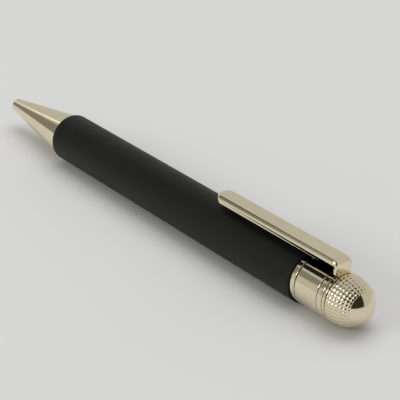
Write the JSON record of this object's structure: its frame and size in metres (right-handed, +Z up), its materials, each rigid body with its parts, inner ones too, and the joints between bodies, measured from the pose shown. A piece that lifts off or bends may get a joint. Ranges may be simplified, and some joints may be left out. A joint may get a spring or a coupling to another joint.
{
  "type": "twist-action rollerball pen",
  "caption": "Slim twist-action rollerball pen: tapered metal nose, matt black barrel, turning polished metal cap end with pocket clip and studded dome.",
  "frame": {"origin": "middle of the pen's length and width, on the surface that it lies on, which its barrel's lowest flat touches", "axes": "+X along the pen from the writing point to the dome, +Z up through the clip, +Y across the clip"},
  "size_m": [0.1348, 0.0116, 0.0146],
  "materials": {
    "gold": "polished pale gold plating",
    "black": "matt soft-touch black lacquer",
    "brass": "machined bare brass",
    "steel": "bright drawn steel",
    "nickel": "turned nickel silver",
    "white_plastic": "moulded natural white plastic",
    "grey_plastic": "moulded grey acetal",
    "rubber": "matt black nitrile rubber",
    "fibre": "bonded fibre soaked with dark ink"
  },
  "bodies": {
    "barrel": {"barrel_tube": "black", "front_bush": "brass", "rear_bush": "brass", "mechanism_housing": "brass", "trim_ring": "gold", "thrust_washer": "steel", "circlip": "steel", "drag_ring": "rubber", "return_spring": "steel"},
    "cap": {"cap_band": "gold", "cap_bearing": "grey_plastic", "cap_carrier": "brass", "decor_ring": "gold", "clip_collar": "gold", "knurled_dome": "gold", "dome_stud": "steel", "drive_stem": "brass", "cam_sleeve": "grey_plastic"},
    "clip": {"pocket_clip": "gold"},
    "ball": {"writing_ball": "steel"},
    "refill": {"refill_tip": "nickel", "refill_nose": "white_plastic", "refill_tube": "steel", "refill_plug": "white_plastic", "ink_feed": "fibre", "ink_reservoir": "fibre", "plunger": "white_plastic", "cam_pin": "steel"},
    "nose_seal": {"nose_seal": "rubber"},
    "nose": {"nose_cone": "gold"}
  },
  "joints": [
    {"name": "cap_twist", "type": "hinge", "parent": "barrel", "child": "cap", "pos_m": [0.05, 0, 0.00575], "axis": [-1, 0, 0], "range_deg": [0, 105]},
    {"name": "refill_slide", "type": "slide", "parent": "barrel", "child": "refill", "axis": [-1, 0, 0], "range_m": [0, 0.0042], "deforming": ["return_spring"]},
    {"name": "ball_roll", "type": "hinge", "parent": "refill", "child": "ball", "pos_m": [-0.0658, 0, 0.00575], "axis": [0, 1, 0], "continuous": true},
    {"name": "clip_flex", "type": "hinge", "parent": "cap", "child": "clip", "pos_m": [0.05978, 0, 0.01095], "axis": [0, 1, 0], "range_deg": [0, 3.5], "stiffness_Nm_per_rad": 3.2},
    {"name": "nose_back_off", "type": "slide", "parent": "barrel", "child": "nose_seal", "axis": [-1, 0, 0], "range_m": [0, 0.0045]},
    {"name": "nose_unscrew", "type": "hinge", "parent": "nose_seal", "child": "nose", "pos_m": [-0.04, 0, 0.00575], "axis": [-1, 0, 0], "range_deg": [0, 2160]}
  ],
  "couplings": [
    {"joint": "cap_twist", "follows": "refill_slide", "rad_per_m": 436.3},
    {"joint": "nose_unscrew", "follows": "nose_back_off", "rad_per_m": 8377.5}
  ]
}
